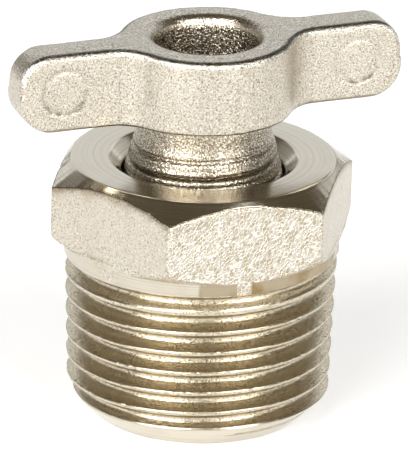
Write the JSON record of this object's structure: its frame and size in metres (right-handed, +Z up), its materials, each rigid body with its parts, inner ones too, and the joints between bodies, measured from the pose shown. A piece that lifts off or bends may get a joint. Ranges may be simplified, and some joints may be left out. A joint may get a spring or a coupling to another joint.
{
  "type": "drain cock",
  "caption": "Drain cock with a male taper pipe thread, a hexagon body and a T handle on a hollow screwed stem with a funnel outlet.",
  "frame": {"origin": "centre of the thread's end face, on which the cock stands", "axes": "+Z up the thread and stem axis to the handle, +X along the T handle when the cock is shut"},
  "size_m": [0.0248, 0.017, 0.0246],
  "materials": {
    "body_nickel": "nickel plated brass, forged flats with turned faces and thread",
    "handle_nickel": "nickel plated brass, forged and shot-blasted",
    "washer_rubber": "moulded nitrile rubber, matt"
  },
  "bodies": {
    "body": {"cock_body": "body_nickel"},
    "washer": {"seat_washer": "washer_rubber"},
    "handle": {"t_handle_stem": "handle_nickel"}
  },
  "joints": [
    {"name": "stem_lift", "type": "slide", "parent": "body", "child": "washer", "axis": [0, 0, 1], "range_m": [0, 0.003]},
    {"name": "handle_turn", "type": "hinge", "parent": "washer", "child": "handle", "pos_m": [0, 0, 0], "axis": [0, 0, 1], "range_deg": [0, 1080]}
  ],
  "couplings": [
    {"joint": "stem_lift", "follows": "handle_turn", "m_per_rad": 0.00015915}
  ]
}
